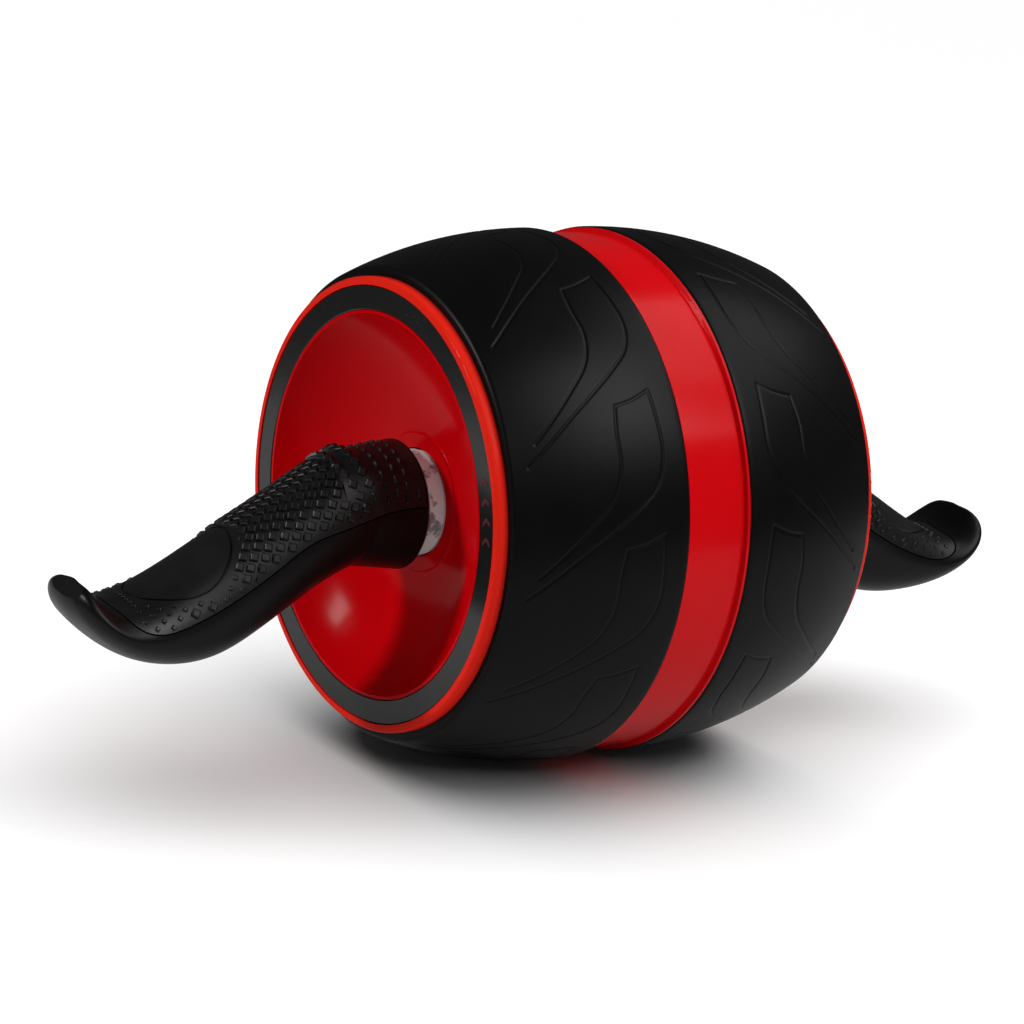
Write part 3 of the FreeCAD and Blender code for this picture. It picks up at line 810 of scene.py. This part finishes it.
# %% One finish for each material of the part
FINISHES = {
    "hub_red": hub_red(),
    "band_red": band_red(),
    "tyre_rubber": tyre_rubber(),
    "trim_grey": trim_gloss(),
    "screw_zinc": metal("screw_zinc", (0.50, 0.50, 0.48), (0.62, 0.62, 0.60), 0.25, 0.40, 4 * MM),
    "bush_nylon": plain_plastic("bush_nylon", (0.68, 0.66, 0.61), (0.76, 0.75, 0.71), 0.40, 0.55),
    "drum_black": plain_plastic("drum_black", (0.012, 0.012, 0.012), (0.022, 0.022, 0.022), 0.40, 0.55),
    "spring_steel": metal("spring_steel", (0.16, 0.18, 0.22), (0.28, 0.30, 0.33), 0.25, 0.45, 6 * MM),
    "axle_steel": metal("axle_steel", (0.48, 0.48, 0.47), (0.60, 0.60, 0.59), 0.25, 0.40, 8 * MM),
    "arbor_zinc": metal("arbor_zinc", (0.30, 0.30, 0.30), (0.42, 0.42, 0.42), 0.40, 0.60, 3 * MM),
    "sleeve_white": white_with_painted_reflection(),
    "handle_black": handle_plastic(),
    "grip_rubber": grip_rubber(),
    "bolt_black": metal("bolt_black", (0.04, 0.04, 0.04), (0.07, 0.07, 0.07), 0.35, 0.50, 3 * MM),
}
print("finishes", len(FINISHES))

# %% [markdown]
# ## Dressing the pieces
#
# The part's record says which material each node has and which body it moves with, so nothing is listed
# twice here. A tyre or grip made above takes the place of its node. The chevrons are an extra on the wheel,
# in a dull red of their own.

# %% Give every piece its finish and its body
new_pieces = {
    "left_tyre": left_tyre,
    "right_tyre": right_tyre,
    "left_grip_pad": left_grip,
    "right_grip_pad": right_grip,
}
bodies = frame["record"]["behaviour"]["bodies"]
body_of = {node: body for body, members in bodies.items() for node in members}
slot_of = {part["node"]: part["material_slot"] for part in frame["record"]["subparts"]}


def dress(piece, material):
    piece.data.materials.clear()
    piece.data.materials.append(material)


for node, slot in slot_of.items():
    dress(nodes[node], FINISHES[slot])
    if node in new_pieces:
        piece = new_pieces[node]
        dress(piece, FINISHES[slot])
        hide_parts(node)
        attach(piece, body_of[node])
dull_red = plain_plastic("mark_red", (0.050, 0.006, 0.010), (0.075, 0.009, 0.014), 0.30, 0.45)
for piece in (left_marks, right_marks):
    dress(piece, dull_red)
    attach(piece, "wheel")
print("new pieces", len(new_pieces) + 2)

# %% [markdown]
# ## The studio
#
# The camera sees a white sweep of paper. A white floor would also fill the black rubber with bounced light,
# so the sweep is hidden from bounces and reflections, and a small grey table just under it gives those
# instead.

# %% Floor
TABLE_RADIUS = 0.62
TABLE_SIDES = 96
TABLE_DROP = 1 * MM
SWEEP_SIZE = 16
SWEEP_SCALE = 1.8
SWEEP_HEIGHT = 2.6
floor_height = cad_box[0].z
bpy.ops.object.select_all(action="DESELECT")
bpy.ops.mesh.primitive_circle_add(
    vertices=TABLE_SIDES, radius=TABLE_RADIUS, fill_type="NGON", location=(0, 0, floor_height - TABLE_DROP))
table = named("studio_table")
bpy.ops.object.select_all(action="DESELECT")
bpy.ops.mesh.primitive_plane_add(size=SWEEP_SIZE, location=(0, 0, floor_height))
sweep = named("studio_sweep")
edit(sweep, "EDGE")
bpy.ops.mesh.select_all(action="SELECT")
bpy.ops.mesh.extrude_edges_move(TRANSFORM_OT_translate={"value": (0, 0, SWEEP_HEIGHT)})
bpy.ops.transform.resize(value=(SWEEP_SCALE, SWEEP_SCALE, 1))
done()
sweep.visible_diffuse = False
sweep.visible_glossy = False
sweep.visible_shadow = False
table.visible_camera = False


def paper(name, dark, light):
    finish = Finish(name, Roughness=0.9, Specular_IOR_Level=0.1)
    finish.feed("Base Color", finish.mix(finish.noise(0.5), (dark, dark, dark), (light, light, light)))
    return finish.material


for piece, stock in ((table, paper("grey_paper", 0.42, 0.46)), (sweep, paper("white_paper", 0.90, 0.92))):
    piece.data.materials.append(stock)
print("floor at", round(floor_height, 4))

# %% [markdown]
# A broad sun overhead lights only the floor, and gives the soft contact shadow. Soft boxes light the wheel:
# the front one draws the highlight on the tyre, and the left one lights the dish. Light linking keeps these
# two off the sweep, so that it stays evenly white.

# %% Lights and world
SUN_STRENGTH = 3.3
SUN_ANGLE = 90
WORLD_STRENGTH = 0.06
the_floor = bpy.data.collections.new("the_floor")
the_floor.objects.link(table)
the_floor.objects.link(sweep)
all_but_sweep = bpy.data.collections.new("all_but_sweep")
all_but_sweep.objects.link(sweep)
all_but_sweep.collection_objects[0].light_linking.link_state = "EXCLUDE"


def softbox(name, place, size, watts):
    """A rectangular light that faces the wheel."""
    light = bpy.data.lights.new(name, "AREA")
    light.shape = "RECTANGLE"
    light.size, light.size_y = size
    light.energy = watts
    lamp = bpy.data.objects.new(name, light)
    bpy.context.collection.objects.link(lamp)
    lamp.location = place
    lamp.rotation_euler = Vector(place).to_track_quat("Z", "Y").to_euler()
    return lamp


overhead = bpy.data.objects.new("overhead", bpy.data.lights.new("overhead", "SUN"))
overhead.data.energy = SUN_STRENGTH
overhead.data.angle = math.radians(SUN_ANGLE)
overhead.light_linking.receiver_collection = the_floor
bpy.context.collection.objects.link(overhead)
softbox("side_box", (0.15, 0.75, 0.85), (0.70, 0.60), 3)
front_box = softbox("front_box", (0.62, 0.29, 0.73), (0.50, 0.62), 8)
left_box = softbox("left_box", (-0.40, -1.05, 0.60), (0.17, 0.30), 10)
softbox("camera_box", (1.0, -0.55, 0.75), (0.40, 0.40), 2)
for lamp in (front_box, left_box):
    lamp.light_linking.receiver_collection = all_but_sweep

world = bpy.data.worlds.new("studio")
world.use_nodes = True
background = world.node_tree.nodes["Background"]
background.inputs["Color"].default_value = (1, 1, 1, 1)
background.inputs["Strength"].default_value = WORLD_STRENGTH
bpy.context.scene.world = world
bpy.context.scene.view_settings.view_transform = "Standard"
print("lights", len(bpy.data.lights))

# %% [markdown]
# ## The camera
#
# A long lens looks at the end of the axle, at a slant. The roller in the picture leans a little about its
# axle, and here the handles hang straight down, so the camera leans instead. The focal length is given in
# pixels of a square picture.

# %% Camera
SENSOR_WIDTH = 36
IMAGE_SIDE = 1024
FOCAL_PIXELS = 3350
AZIMUTH = math.radians(54.416)
ELEVATION = math.radians(14.550)
ROLL = math.radians(5.641)
DISTANCE = 1195.1 * MM
SHIFT_RIGHT = -16.6 * MM
SHIFT_UP = -7.5 * MM

level = Vector((math.cos(AZIMUTH), math.sin(AZIMUTH), 0))
ahead = Vector((-math.sin(AZIMUTH), math.cos(AZIMUTH), 0))
back = Vector((0, 0, math.sin(ELEVATION))) - ahead * math.cos(ELEVATION)
upright = back.cross(level)
right = level * math.cos(ROLL) + upright * math.sin(ROLL)
top = upright * math.cos(ROLL) - level * math.sin(ROLL)
camera_data = bpy.data.cameras.new("camera")
camera = bpy.data.objects.new("camera", camera_data)
bpy.context.collection.objects.link(camera)
camera_data.sensor_width = SENSOR_WIDTH
camera_data.lens = SENSOR_WIDTH * FOCAL_PIXELS / IMAGE_SIDE
camera.matrix_world = Matrix((right, top, back)).transposed().to_4x4()
camera.location = back * DISTANCE + right * SHIFT_RIGHT + top * SHIFT_UP
bpy.context.scene.camera = camera
print("lens", round(camera_data.lens, 1), "mm")

# %% [markdown]
# ## The last step
#
# The studs and chevrons stand a hair proud of the pads and rings. At the end the view layer is brought up to
# date.

# %% Update the view layer
bpy.context.view_layer.update()
